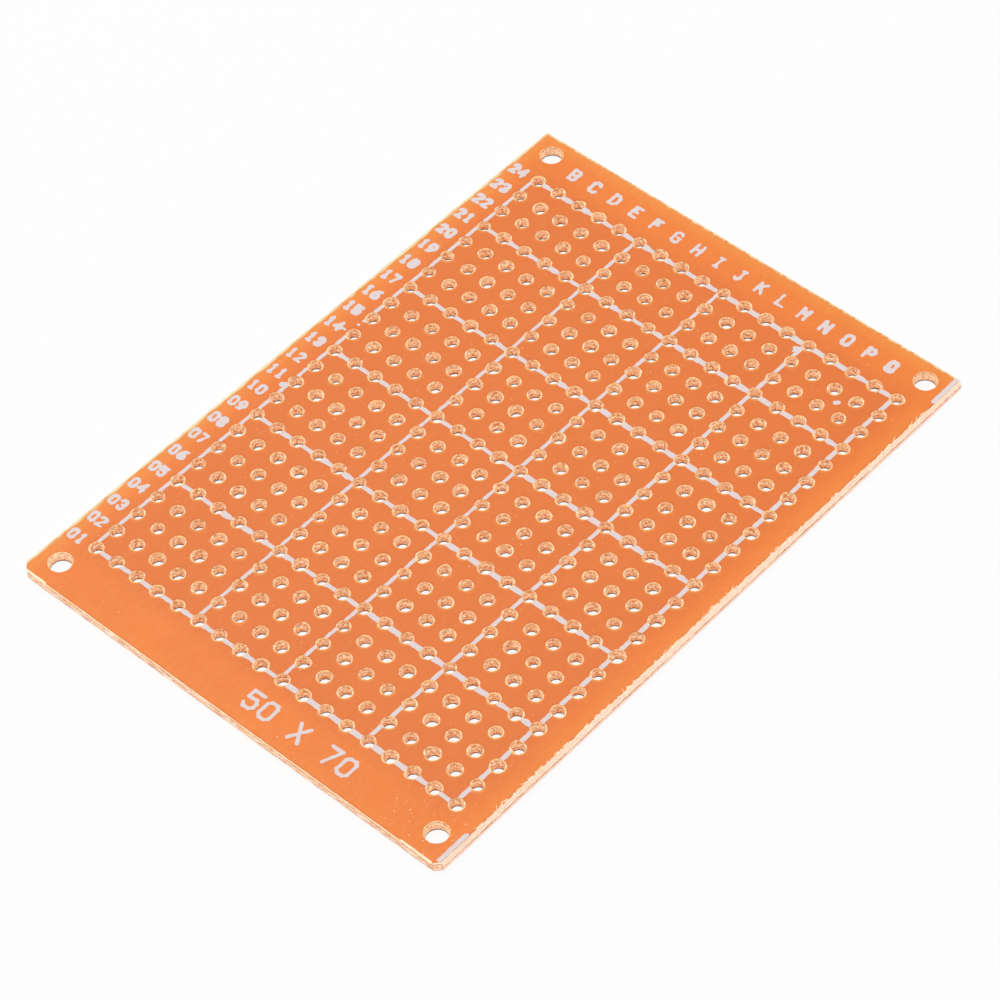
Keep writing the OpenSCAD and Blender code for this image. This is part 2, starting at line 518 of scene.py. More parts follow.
brokenLook = {
    "light": (255, 234, 200),
    "tan": (251, 202, 150),
    "brown": (206, 118, 62),
    "dark": (104, 70, 54),
    "crack": (190, 102, 52),
    # pale paper flakes, and also painted light on the upper wall's sides and on the rim
    "flakeAndPaintedLight": (255, 240, 206),
    # painted light and shade on the rim: a shaded copy on the far side, a lit copy on the painted-light side
    "rimShadedSide": (252, 202, 142),
    "rimLitSide": (248, 216, 150),
    # soft steps of noise, of the side and of the distance from a hole's axis
    "lightStreaks": (0.47, 0.53),
    "brownSpots": (0.55, 0.6, 0.0, 0.78),
    "cracks": (0.014, 0.038, 0.9),
    "flakes": (0.56, 0.59, 0.0, 0.9),
    "sideways": (0.9, 0.3),
    "mountWall": (1.2, 1.7, 0.0, 0.3),
    "underRimStreaks": (0.42, 0.5, 0.0, 0.5),
    "rimSide": (-0.5, 0.7),
    "rimSpots": (0.58, 0.46, 0.35, 1.0),
    "rimFromHoleToHole": (0.35, 0.6, 0.45, 1.0),
    "rimShare": 0.6,  # how far the painted light of the sides and the cracks show on the rim
    # soft steps over the underside, and under the top face
    "paintedShadeDeepWall": (0.75, 0.2, 0.0, 0.3),
    # a dark foot at the underside: the copper foil's edge, with painted contact shade
    "copperEdgeAndShadeFoot": (0.08, 0.14, 1.0, 0.0),
    "paintedLightUpperWall": (-0.5, -0.25, 0.0, 0.7),
    "underRim": (-0.22, -0.14),
    "rim": (-0.10, -0.06),
    # painted light: the paper glows in its own colour
    "paintedGlow": 0.33,
}


# The wall and rim of a punched hole: pale torn paper, darker with depth as painted shade, with painted light
# high on its sides and a lit and a shaded side of the rim
def punchedWallMaterial(look):
    material, tree, shader = newMaterial("punchedWall", 0.75, 0.15)
    layers, fine, height = brokenPaper(tree, (1.9, (1.0, 1.0, 2.2)), (2.4, (1.0, 1.0, 1.5)))
    streaks, spots = layers["Streaks"], layers["Spots"]
    hole = useGroup(tree, nearestHole)
    # 1 on the sides of a hole that lie across its painted-light side, where painted light falls on the upper
    # wall and the rim
    sideways = softStep(absolute(hole["Side"]), *look["sideways"])
    crack = crackMask(fine["Streaks"], *look["cracks"])
    colour = layered(
        look, tint(*look["tan"]),
        ("light", softStep(streaks, *look["lightStreaks"])),
        ("brown", softStep(spots, *look["brownSpots"])),
        # painted shade: browner deeper down the wall
        ("brown", levelStep(height, undersideZ, *look["paintedShadeDeepWall"])),
        # painted light on the upper wall where it lies across the painted-light side
        ("flakeAndPaintedLight", times(levelStep(height, topZ, *look["paintedLightUpperWall"]), sideways)),
        ("crack", crack),
        ("flakeAndPaintedLight", softStep(fine["Streaks"], *look["flakes"])),
        ("light", softStep(hole["Distance"], *look["mountWall"])),
        # a darker band just under the rim, in the cracks' colour
        ("crack", times(levelStep(height, topZ, *look["underRim"]),
                        softStep(streaks, *look["underRimStreaks"]))))
    # the rim, painted lit on the painted-light side and shaded on the other
    rimColour = layered(
        look, tint(*look["rimShadedSide"]),
        ("rimLitSide", softStep(hole["Side"], *look["rimSide"])),
        ("flakeAndPaintedLight", times(sideways, look["rimShare"])),
        ("brown", times(crack, look["rimShare"])))
    fromHoleToHole = softStep(noise(objectPlace(tree), 0.5), *look["rimFromHoleToHole"])
    whole = times(softStep(spots, *look["rimSpots"]), fromHoleToHole)
    rim = times(levelStep(height, topZ, *look["rim"]), whole)
    colour = layered(look, blendColour(rim, colour, rimColour),
                     # the dark foot: the copper foil's edge, with painted contact shade
                     ("dark", levelStep(height, undersideZ, *look["copperEdgeAndShadeFoot"])))
    dressShader(shader, colour, (streaks, 0.08, 0.8), look["paintedGlow"])
    return material


edgeLook = {
    "steps": (0.16, 0.16, 0.10, 0.26, 0.17, 0.16),  # from point to point, on each side in turn
    "topScoreDepth": 0.58,
    "bottomScoreDepth": 0.16,
    "scoreAngle": 20,
    "firstCornerCut": 0.84,
    "lastCornerCut": 0.68,
    "chipWidth": 0.12,
    "firstChip": 3.2,
    "lastChip": 4.4,
    "ragged": 0.05,
    "splinters": 0.22,  # how far the worst splinters of the scored edge reach in
    "teeth": 0.15,  # the small teeth between them
    "frontRim": 0.3,  # share of the raggedness on the front end's upper rim
    "backRim": 0.7,
    "calmFrom": 12,  # from here to the back the edge is less torn
    "bow": 0.09,  # how much deeper the score by the last column is at mid-length
    "leftOut": 0.08,  # how much less the score by the first column slants in
    "footInset": 0.02,
    "mountInset": 2.5,
    "mountFirstInset": 2.55,
    "mountLastInset": 2.05,
    "seed": 21,
}

edgeColours = {
    "cream": (255, 234, 206),
    "pink": (255, 222, 204),
    "tan": (248, 192, 152),
    "line": (188, 108, 58),
    "web": (255, 220, 200),
    "topEdgeLine": (206, 112, 52),
    "rim": (255, 232, 196),
    "endTan": (246, 196, 150),
    "endPale": (255, 230, 206),
    "endBrown": (192, 108, 56),
    # soft steps of noise
    "pinkStreaks": (0.46, 0.56),
    "tanStreaks": (0.55, 0.62, 0.0, 0.7),
    "lineStreaks": (0.4, 0.55, 0.3, 1.0),
    "fineCracks": (0.012, 0.03, 0.4),
    "paleStreaks": (0.44, 0.54),
    "brownStreaks": (0.56, 0.62, 0.0, 0.8),
    "longCracks": (0.014, 0.035, 0.75),
    "underRimSpots": (0.42, 0.54, 0.1, 0.8),
    # soft steps from the top face, from the top of the snapped web, and from the underside
    "creamTop": (-0.24, -0.14, 0.0, 0.8),
    "topEdgeLineStep": (-0.06, -0.03, 0.0, 0.5),
    # painted shadow under the ends' cream rim
    "underRim": (-0.34, -0.24),
    "rimTop": (-0.24, -0.18),
    "creamFoot": ((0.0, 0.04), (0.18, 0.1, 0.0, 0.8)),
    "webBelow": (0.0, -0.04, 0.0, 0.8),
    "lineBelow": ((0.01, -0.04), (-0.2, -0.13)),
    "paleFoot": (0.5, 0.12, 0.0, 0.6),
    # painted light: the paper glows in its own colour
    "paintedGlow": 0.34,
}


# The long edges: two cream lines with pinkish paper between, a thin brown line, a pale snapped web
def scoredEdgeMaterial(look):
    material, tree, shader = newMaterial("scoredEdge", 0.8, 0.15)
    layers, fine, height = brokenPaper(tree, (1.2, (1.0, 0.3, 3.2)), (2.6, (1.0, 0.35, 2.4)))
    ragged = timesPlus(layers["Spots"], 0.26, minus(height, 0.13))
    webTop = topZ - edgeLook["topScoreDepth"]
    creamFoot, line = (times(*(levelStep(ragged, webTop, *step) for step in look[name]))
                       for name in ("creamFoot", "lineBelow"))
    colour = layered(
        look, tint(*look["cream"]),
        ("pink", softStep(layers["Streaks"], *look["pinkStreaks"])),
        ("tan", softStep(fine["Streaks"], *look["tanStreaks"])),
        ("cream", levelStep(ragged, topZ, *look["creamTop"])),
        ("cream", creamFoot),
        ("web", levelStep(ragged, webTop, *look["webBelow"])),
        ("line", times(line, softStep(layers["Streaks"], *look["lineStreaks"]))),
        ("line", crackMask(fine["Streaks"], *look["fineCracks"])),
        # a thin darker line along the top of the edge
        ("topEdgeLine", levelStep(height, topZ, *look["topEdgeLineStep"])))
    dressShader(shader, colour, (layers["Streaks"], 0.08, 0.9), look["paintedGlow"])
    return material


# The short ends: a cream rim with a painted shadow under it, then broken paper with long brown streaks, paler
# at the foot
def shearedEndMaterial(look):
    material, tree, shader = newMaterial("shearedEnd", 0.8, 0.15)
    layers, fine, height = brokenPaper(tree, (1.2, (0.35, 1.0, 3.0)), (2.4, (0.4, 1.0, 2.4)))
    colour = layered(
        look, tint(*look["endTan"]),
        ("endPale", softStep(layers["Streaks"], *look["paleStreaks"])),
        ("endPale", levelStep(height, undersideZ, *look["paleFoot"])),
        ("endBrown", softStep(fine["Streaks"], *look["brownStreaks"])),
        ("endBrown", crackMask(layers["Streaks"], *look["longCracks"])),
        # painted shadow: a brown band, broken by spots, under the end's cream rim
        ("endBrown", times(levelStep(height, topZ, *look["underRim"]),
                           softStep(layers["Spots"], *look["underRimSpots"]))),
        ("rim", levelStep(height, topZ, *look["rimTop"])))
    dressShader(shader, colour, (layers["Streaks"], 0.08, 0.9), look["paintedGlow"])
    return material


inkLook = {"colour": (240, 225, 224), "thin": (247, 206, 184), "thinStep": (0.52, 0.68, 0.0, 0.3),
           "roughness": 0.7}


def whiteInkMaterial(look):
    material, tree, shader = newMaterial("whiteInk", look["roughness"], 0.25)
    grain = useGroup(tree, fibreGrain)
    colour = layered(look, tint(*look["colour"]), ("thin", softStep(grain["Tone"], *look["thinStep"])))
    dressShader(shader, colour, (grain["Relief"], 0.01, 0.6))
    return material


copperLook = {"bright": (255, 190, 152), "dull": (236, 156, 118), "dullStep": (0.38, 0.62),
              "roughness": 0.34, "brightest": 0.22, "roughSwing": 0.3}


def copperMaterial(look):
    material, tree, shader = newMaterial("copperFoil", look["roughness"])
    feed(shader["Metallic"], 1.0)
    grain = useGroup(tree, fibreGrain)
    colour = layered(look, tint(*look["bright"]), ("dull", softStep(grain["Tone"], *look["dullStep"])))
    feed(shader["Roughness"], timesPlus(grain["Tone"], look["roughSwing"], look["brightest"]))
    dressShader(shader, colour, (grain["Relief"], 0.01, 0.5))
    return material


laminateFace = laminateFaceMaterial(laminateLook)
laminateUnder = laminateUnderMaterial(laminateLook)
punchedWall = punchedWallMaterial(brokenLook)
scoredEdge = scoredEdgeMaterial(edgeColours)
shearedEnd = shearedEndMaterial(edgeColours)
whiteInk = whiteInkMaterial(inkLook)
copperFoil = copperMaterial(copperLook)
print("materials are made")


# The panel: a field of punched holes, and the margin and the edges round it

punchLook = {
    "segments": 32,  # points round one hole; a multiple of 8 keeps the cell's corners
    "holeRadius": 0.585,
    "rimRadius": 0.715,
    "lipRadius": 0.585,
    "lipDepth": 0.075,
    "throatRadius": 0.585,
    "throatDepth": 0.3,
    "lowDepth": 0.72,
    "tear": 0.05,  # how ragged the torn paper is
    "tearSize": 0.3,
    "rimSpread": 0.035,  # how much the rims differ from hole to hole
    "rimLimits": (-0.07, 0.09),
    "shiftSpread": 0.02,
    "shiftLimits": (-0.05, 0.05),
    "chipShare": 0.4,  # share of the holes whose rim broke further out on one side
    "chipSize": (0.04, 0.14),
    "hangShare": 0.2,  # share of the holes with a flake that hangs into the hole
    "hangSize": (0.08, 0.24),
    "lobeSharpness": 6,  # how narrow a chip or a hanging flake is
    "mountHoleRadius": 1.05,
    "mountRimRadius": 1.16,
    "mountSegments": 64,
    "mountSeed": 60,
    "seed": 7,
}
punchRandom = np.random.default_rng(punchLook["seed"])
rimExtra = np.clip(punchRandom.normal(0, punchLook["rimSpread"], (columns, rows)), *punchLook["rimLimits"])
rimShift = np.clip(punchRandom.normal(0, punchLook["shiftSpread"], (columns, rows, 2)),
                   *punchLook["shiftLimits"])


# A direction and a size for a share of the holes, and none for the rest
def lobes(share, size):
    turn = punchRandom.uniform(0, 2 * math.pi, (columns, rows))
    reach = punchRandom.uniform(*size, (columns, rows)) * (punchRandom.random((columns, rows)) < share)
    return np.stack([np.cos(turn) * reach, np.sin(turn) * reach], -1)


rimChips = lobes(punchLook["chipShare"], punchLook["chipSize"])
rimHangs = lobes(punchLook["hangShare"], punchLook["hangSize"])


# One step of a Geometry Nodes tree on the geometry that comes in
def shapeStep(kind, geometry, settings=None, **sockets):
    return addNode(geometry.id_data, "GeometryNode" + kind, {"Geometry": geometry, **sockets},
                   **(settings or {})).outputs[0]


def storedValue(geometry, name, value):
    return shapeStep("StoreNamedAttribute", geometry, {"data_type": "FLOAT", "domain": "POINT"},
                     Name=name, Value=value)


def namedValue(tree, name, kind="FLOAT"):
    return addNode(tree, "GeometryNodeInputNamedAttribute", {"Name": name}, data_type=kind).outputs[0]


def pointPlace(tree):
    return tree.nodes.new("GeometryNodeInputPosition").outputs[0]


def ringSwitch(ring, values):
    made = ring.id_data.nodes.new("GeometryNodeIndexSwitch")
    made.data_type = "FLOAT"
    while len(made.index_switch_items) < len(values):
        made.index_switch_items.new()
    for number, value in enumerate([ring, *values]):
        feed(made.inputs[number], value)
    return made.outputs[0]


# A square sheet to bend into rings: it, the cosine and sine of a point's turn, and its ring's number
def ringSheet(segments, ringCount):
    tree = segments.id_data
    sizes = {"Size X": 1.0, "Size Y": 1.0, "Vertices X": plus(segments, 1.0), "Vertices Y": ringCount}
    sheet = addNode(tree, "GeometryNodeMeshGrid", sizes).outputs[0]
    here = split(pointPlace(tree))
    angle = times(plus(here[0], 0.5), 2 * math.pi)
    ring = calc("ROUND", times(plus(here[1], 0.5), ringCount - 1.0))
    return sheet, calc("COSINE", angle), calc("SINE", angle), ring


# Bends the sheet to its rings' radii and heights, and closes the seam
def bendSheet(sheet, cosine, sine, radius, height, weld):
    place = combine(times(radius, cosine), times(radius, sine), height)
    return shapeStep("MergeByDistance", shapeStep("SetPosition", sheet, Position=place), Distance=weld)


# Sets a shape on every point and makes one geometry of them
def setOnPoints(points, shape, **sockets):
    instances = addNode(points.id_data, "GeometryNodeInstanceOnPoints",
                        {"Points": points, "Instance": shape, **sockets})
    return shapeStep("RealizeInstances", instances.outputs[0])


weldReach = 2e-6  # points this near each other, in metres, are one
fieldSizes = {"Hole Radius": "holeRadius", "Rim Radius": "rimRadius", "Lip Radius": "lipRadius",
              "Lip Depth": "lipDepth", "Throat Radius": "throatRadius", "Throat Depth": "throatDepth",
              "Low Depth": "lowDepth", "Tear": "tear", "Tear Size": "tearSize"}


# One cell with a torn hole, set on every point of the grid
def punchedFieldTree():
    inputs = {name: 1.0 for name in ("Pitch", "Top", "Bottom", *fieldSizes)}
    inputs.update({"Segments": 32, "Face": None, "Under": None, "Wall": None})
    tree, get, out = newGroup("punchedField", inputs, [])
    sheet, cosine, sine, ring = ringSheet(get["Segments"], 7)
    square = calc("DIVIDE", times(get["Pitch"], 0.5), most(absolute(cosine), absolute(sine)))
    radius = ringSwitch(ring, [square, get["Rim Radius"], get["Lip Radius"], get["Throat Radius"],
                               get["Throat Radius"], get["Hole Radius"], square])
    depths = [minus(get["Top"], get[name]) for name in ("Lip Depth", "Throat Depth", "Low Depth")]
    height = ringSwitch(ring, [get["Top"], get["Top"], *depths, get["Bottom"], get["Bottom"]])
    closed = bendSheet(storedValue(sheet, "ring", ring), cosine, sine, radius, height, weldReach)
    field = setOnPoints(get["Geometry"], closed)

    # each hole's own rim, and the ragged paper
    ringNow = namedValue(tree, "ring")
    centre, shift = (namedValue(tree, name, "FLOAT_VECTOR") for name in ("holeCentre", "rimShift"))
    position = pointPlace(tree)
    away = vectorCalc("MULTIPLY", vectorCalc("SUBTRACT", position, centre), (1, 1, 0))
    outward = vectorCalc("NORMALIZE", away)
    ragged = noise(scaled(position, calc("DIVIDE", 1.0, get["Tear Size"])), 1.0, 3.0, 0.7)
    swing = times(minus(ragged, 0.5), 4.0)
    tearShare = ringSwitch(ringNow, [0.0, 0.55, 0.7, 1.0, 0.9, 0.0, 0.0])
    spreadShare = ringSwitch(ringNow, [0.0, 1.0, 1.0, 0.6, 0.2, 0.0, 0.0])
    torn = times(times(swing, get["Tear"]), tearShare)
    moveOut = timesPlus(namedValue(tree, "rimExtra"), spreadShare, torn)
    for name, shares in (("rimChip", [0.0, 1.0, 0.9, 0.2, 0.0, 0.0, 0.0]),
                         ("rimHang", [0.0, 0.0, -0.3, -1.0, -0.35, 0.0, 0.0])):
        lean = namedValue(tree, name, "FLOAT_VECTOR")
        facing = vectorCalc("DOT_PRODUCT", outward, vectorCalc("NORMALIZE", lean), output=1)
        lobe = calc("POWER", most(facing, 0.0), float(punchLook["lobeSharpness"]))
        lobe = times(lobe, vectorCalc("LENGTH", lean, output=1))
        moveOut = timesPlus(lobe, ringSwitch(ringNow, shares), moveOut)
    offset = vectorCalc("ADD", scaled(outward, moveOut), scaled(shift, spreadShare))
    dressed = shapeStep("MergeByDistance", shapeStep("SetPosition", field, Offset=offset), Distance=weldReach)

    # a face's ring number is the mean of its corners': under 1 is the top face, over 5 the underside
    onFace = addNode(tree, "GeometryNodeFieldOnDomain", {0: ringNow}, data_type="FLOAT",
                     domain="FACE").outputs[0]
    dressed = shapeStep("SetMaterial", dressed, Material=get["Wall"])
    for compare, limit, name in (("LESS_THAN", 0.9, "Face"), ("GREATER_THAN", 5.1, "Under")):
        dressed = shapeStep("SetMaterial", dressed, Selection=calc(compare, onFace, limit),
                            Material=get[name])
    feed(out[0], dressed)
    return tree


# Runs a tree on an object of points and keeps the outcome as a plain mesh
def meshFromTree(points, tree, values, name):
    maker = addObject(name + "Maker", points)
    modifier = maker.modifiers.new("tree", "NODES")
    modifier.node_group = tree
    for item in tree.interface.items_tree:
        if item.item_type == "SOCKET" and item.in_out == "INPUT" and item.name in values:
            modifier[item.identifier] = values[item.name]
    evaluated = maker.evaluated_get(bpy.context.evaluated_depsgraph_get())
    mesh = bpy.data.meshes.new_from_object(evaluated)
    mesh.name = name
    bpy.data.objects.remove(maker)
    return mesh


# A mesh of points alone, with a value or a vector of each by name
def pointMesh(name, places, attributes):
    mesh = bpy.data.meshes.new(name)
    mesh.from_pydata(places.tolist(), [], [])
    for label, values in attributes.items():
        kind, field = ("FLOAT_VECTOR", "vector") if values.shape[-1] == 3 else ("FLOAT", "value")
        mesh.attributes.new(label, kind, "POINT").data.foreach_set(field, np.ravel(values))
    return mesh


def triangleCount(mesh):
    return sum(len(polygon.vertices) - 2 for polygon in mesh.polygons)


# One vertex per lead hole, with what makes that hole its own
def holePoints():
    centres = np.array([(columnX(c), rowY(r), 0.0) for c in range(columns) for r in range(rows)]) * mm
    shift, chip, hang = (np.pad(values.reshape(-1, 2) * mm, ((0, 0), (0, 1)))
                         for values in (rimShift, rimChips, rimHangs))
    return pointMesh("holePoints", centres, {"holeCentre": centres, "rimShift": shift, "rimChip": chip,
                                             "rimHang": hang, "rimExtra": rimExtra * mm})


def punchedField(look):
    values = {socket: look[key] * mm for socket, key in fieldSizes.items()}
    values.update({"Pitch": pitch * mm, "Top": topZ * mm, "Bottom": undersideZ * mm,
                   "Segments": look["segments"], "Face": laminateFace, "Under": laminateUnder,
                   "Wall": punchedWall})
    return meshFromTree(holePoints(), punchedFieldTree(), values, "punchedField")


# Smooth random numbers from -1 to 1 along a line
def waver(where, size, seed):
    count = 4096
    table = np.random.default_rng(seed).uniform(-1, 1, count)
    spot = np.asarray(where) / size
    base = np.floor(spot).astype(int)
    part = spot - base
    part = part * part * (3 - 2 * part)
    return table[base % count] * (1 - part) + table[(base + 1) % count] * part


# The panel's outline at one height: six sides, each with a fixed number of points
def outlinePoints(inset, counts):
    right, end = boardHigh.x - inset, boardHigh.y
    leftInset = max(inset - edgeLook["leftOut"], inset * 0.5)
    left = -boardHigh.x + leftInset
    first, last = edgeLook["firstCornerCut"], edgeLook["lastCornerCut"]
    corners = [(-boardHigh.x + first, -end), (boardHigh.x - last, -end), (right, -end + last - inset),
               (right, end), (left, end), (left, -end + first - leftInset)]
    points, normals = [], []
    for start, end, count in zip(corners, corners[1:] + corners[:1], counts):
        start, end = np.array(start), np.array(end)
        share = np.arange(count)[:, None] / count
        points.append(start + (end - start) * share)
        along = (end - start) / np.linalg.norm(end - start)
        normals.append(np.tile([along[1], -along[0]], (count, 1)))
    return np.concatenate(points), np.concatenate(normals)


# Rings of points round the panel from the top face to the underside
def panelEdge(look):
    slope = math.tan(math.radians(look["scoreAngle"]))
    sides = [2 * boardHigh.x, look["lastCornerCut"], 2 * boardHigh.y, 2 * boardHigh.x, 2 * boardHigh.y,
             look["firstCornerCut"]]
    counts = [max(3, round(side / step)) for side, step in zip(sides, look["steps"])]
    webTop, webBottom = topZ - look["topScoreDepth"], undersideZ + look["bottomScoreDepth"]
    # each level's height, how far the slanted score lies in, and how ragged it is
    levels = [(topZ - depth, (topZ - webTop - depth) * slope, rough)
              for depth, rough in ((0, look["ragged"]), (0.1, 0.03), (0.3, 0.03))]
    levels += [(webTop + 0.06, 0.02, 0.02), (webTop - 0.02, 0.0, 0.012),
               ((webTop + webBottom) / 2, 0.0, 0.02), (webBottom, 0.0, 0.012),
               (undersideZ, look["footInset"], 0.012)]
    rings, seed = [], look["seed"]
    for number, (z, inset, rough) in enumerate(levels):
        points, normals = outlinePoints(inset, counts)
        walk = np.concatenate([[0], np.cumsum(np.hypot(*np.diff(points, axis=0).T))])
        wobble = waver(walk, 0.9, seed + number) * 0.6 + waver(walk, 0.3, seed + 40 + number) * 0.5
        onEnds = np.abs(normals[:, 1]) > 0.9
        onEndsRim = np.where(normals[:, 1] > 0, look["backRim"], look["frontRim"])
        amount = np.where(onEnds & (number == 0), rough * onEndsRim, rough)
        push = wobble * amount + np.where((inset == 0) | onEnds, np.abs(wobble) * amount, 0)
        if number == 0:
            sharp = np.clip(waver(walk, 0.3, seed + 90) - 0.3, 0, 1) / 0.7
            sharp *= np.clip(waver(walk, 5.0, seed + 91) + 0.6, 0, 1)
            teeth = np.clip(waver(walk, 0.17, seed + 95) - 0.1, 0, 1) * look["teeth"]
            byMarks = (points[:, 1] < boardLow.y + 4) | (points[:, 1] > boardHigh.y - 3.8)
            byPlace = np.where(byMarks, 0.1, np.where(points[:, 1] > look["calmFrom"], 0.5, 1.0))
            share = np.where(normals[:, 0] > 0.9, byPlace, 0.3)
            push += np.where(onEnds, 0, (sharp * look["splinters"] + teeth) * share)
            bow = look["bow"] * (0.5 - (points[:, 1] / boardHigh.y) ** 2)
            push += np.where(normals[:, 0] > 0.9, bow, 0)
            front = normals[:, 1] < -0.9  # the strips chipped off the front end's rim
            fromFirst = points[:, 0] + boardHigh.x
            byEnds = (fromFirst < look["firstChip"]) | (fromFirst > 2 * boardHigh.x - look["lastChip"])
            push += np.where(front & byEnds, look["chipWidth"], 0)
        points = np.clip(points - normals * push[:, None], boardLow.xy, boardHigh.xy)
        rings.append(np.column_stack([points, np.full(len(points), z)]))
    return rings, np.abs(outlinePoints(0.0, counts)[1][:, 1]) > 0.5


# The places on a cell's square outline, as the hole tree makes them, from one corner to the next
def cellOutline(segments):
    steps = segments // 8
    return np.tan(np.arange(-steps, steps + 1) / steps * math.pi / 4) * pitch / 2


# The outline of all the cells together, with every point that the cells have there
def gridBlockOutline(segments):
    side = cellOutline(segments)[:-1]
    left, right = columnX(0) - pitch / 2, columnX(columns - 1) + pitch / 2
    bottom, top = rowY(0) - pitch / 2, rowY(rows - 1) + pitch / 2
    points = [(columnX(c) + s, bottom) for c in range(columns) for s in side]
    points += [(right, rowY(r) + s) for r in range(rows) for s in side]
    points += [(columnX(c) - s, top) for c in reversed(range(columns)) for s in side]
    points += [(left, rowY(r) - s) for r in reversed(range(rows)) for s in side]
    return np.array(points)


# The rings of one mounting hole, from its torn rim to the underside
def mountHoleRings(look, x, y, seed):
    count, rim, wall = look["mountSegments"], look["mountRimRadius"], look["mountHoleRadius"]
    angle = np.arange(count) / count * 2 * math.pi
    # each level's radius and height, and its share of the tear
    levels = [(rim, topZ, 0.5), (rim - 0.07, topZ - 0.06, 0.7), (wall, topZ - 0.3, 1.0),
              (wall, topZ - 0.55, 1.0), (wall, topZ - 0.8, 0.8), (wall, undersideZ, 0.0)]
    rings = []
    for number, (radius, z, share) in enumerate(levels):
        turn = waver(angle / (2 * math.pi) * 24, 1.0, seed + number * 5)
        turn[-3:] = turn[-4] + (turn[0] - turn[-4]) * np.array([0.3, 0.6, 0.85])
        size = radius + turn * look["tear"] * 0.7 * share
        rings.append(np.column_stack([x + size * np.cos(angle), y + size * np.sin(angle), np.full(count, z)]))
    return rings


def sidesOf(loop):
    return list(zip(loop, [*loop[1:], loop[0]]))


# What lies on the left of every loop in triangles: points, faces and the loops' own sides
def trianglesInside(loops):
    points = [Vector(point[:2]) for loop in loops for point in loop]
    edges, start = [], 0
    for loop in loops:
        edges += sidesOf(range(start, start + len(loop)))
        start += len(loop)
    places, _, triangles, oldNumbers = delaunay_2d_cdt(points, edges, [], 0, 1e-7)[:4]
    renamed = {old: new for new, olds in enumerate(oldNumbers) for old in olds}
    leftOf = {(renamed[a], renamed[b]) for a, b in edges}
    owner = {side: number for number, face in enumerate(triangles) for side in sidesOf(face)}
    kept, waiting = set(), [owner[edge] for edge in leftOf if edge in owner]
    while waiting:
        number = waiting.pop()
        if number in kept:
            continue
        kept.add(number)
        waiting += [owner[(b, a)] for a, b in sidesOf(triangles[number])
                    if (a, b) not in leftOf and (b, a) in owner]
    return [(p.x, p.y) for p in places], [triangles[number] for number in sorted(kept)], leftOf


# Joins the punched field, the margin round it, the edges and the mounting holes
def buildPanel(look, edge):
    skin = bmesh.new()
    materials = [laminateFace, laminateUnder, punchedWall, scoredEdge, shearedEnd]

    def addFaces(points, faces, chosen, smooth):
        made = [skin.verts.new([c * mm for c in point]) for point in points]
        for number, face in enumerate(faces):
            new = skin.faces.new([made[i] for i in face])
            new.material_index, new.smooth = chosen[number % len(chosen)], smooth

    def addStrip(rings, chosen):
        count = len(rings[0])
        faces = [(at + i, at + (i + 1) % count, at + count + (i + 1) % count, at + count + i)
                 for at in range(0, (len(rings) - 1) * count, count) for i in range(count)]
        addFaces(np.concatenate(rings), faces, chosen, True)

    rings, onEnds = panelEdge(edge)
    addStrip(rings, [materials.index(shearedEnd if end else scoredEdge) for end in onEnds])
    xs = [boardLow.x + edge["mountInset"], boardHigh.x - edge["mountInset"]]
    ys = [boardLow.y + edge["mountFirstInset"], boardHigh.y - edge["mountLastInset"]]
    wall = materials.index(punchedWall)
    mounts = [mountHoleRings(look, x, y, look["mountSeed"] + 7 * number)
              for number, (x, y) in enumerate((x, y) for x in xs for y in ys)]
    for mount in mounts:
        addStrip(mount, [wall])
    block = gridBlockOutline(look["segments"])
    for level, z, material in ((0, topZ, 0), (-1, undersideZ, 1)):
        holes = [mount[level][::-1] for mount in mounts]
        points, faces, _ = trianglesInside([rings[level], block[::-1], *holes])
        addFaces([(x, y, z) for x, y in points], faces, [material], False)

    field = punchedField(look)
    names = [m.name for m in materials]
    lookup = [names.index(m.name) if m else wall for m in field.materials]
    before = len(skin.faces)
    skin.from_mesh(field)
    skin.faces.ensure_lookup_table()
    for face in skin.faces[before:]:
        face.material_index = lookup[face.material_index]
        face.smooth = face.material_index == wall
    bmesh.ops.remove_doubles(skin, verts=skin.verts, dist=weldReach)
    bmesh.ops.recalc_face_normals(skin, faces=skin.faces)
    mesh = bpy.data.meshes.new("panel")
    skin.to_mesh(mesh)
    openEdges = sum(1 for e in skin.edges if len(e.link_faces) != 2)
    skin.free()
    for material in materials:
        mesh.materials.append(material)
    print("panel has", triangleCount(mesh), "triangles and", openEdges, "open edges")
    return addObject("panel", mesh)


panel = buildPanel(punchLook, edgeLook)
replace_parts(panel, "board")
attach(panel, "root")


# White ink: strokes become a field of distances, and the field's outline becomes the ink

inkPrint = {
    "cell": 0.06,  # size of the field's cells
    "wobble": 0.035,
    "wobbleSize": 0.35,
    "fuzz": 0.018,
    "fuzzSize": 0.14,
    "merge": 0.09,  # how far neighbouring strokes run together
    "thickness": inkHigh.z - topZ,
    "sink": 0.004,
    "strokeReach": 0.4,  # how far past its half width a stroke is worked out
    "holeReach": 1.1,  # how far from a hole's axis its rim is
    "smallest": 0.012,  # smaller outlines, by area, are left out
    "straight": 0.0025,  # a point this near its neighbours' line goes
}
gridPrint = {
    "shiftX": -0.30,
    "shiftY": -0.13,
    "growth": 0.12,
    "longWidths": {0: 0.37, 5: 0.34, 9: 0.35, 13: 0.40, 17: 0.44},
    "crossWidth": 0.42,
    "crossSwell": 0.53,  # width of the cross lines where more ink ran, from column to column
    "swellColumns": (9.5, 15.5),
    "blotShare": 0.4,  # share of the gaps between holes where a cross line is thicker for a short way
    "blotSize": (0.03, 0.11),
    "blotReach": (0.02, 0.4),  # half its length
    "blotShift": (0.3, 0.04),  # how far, both ways, it may lie off the gap's middle
    "brokenFrom": 13,  # the first long line stops at this row and goes on short of the next
    "goesOnBefore": 0.75,
    "seed": 51,
    "step": 4,
}


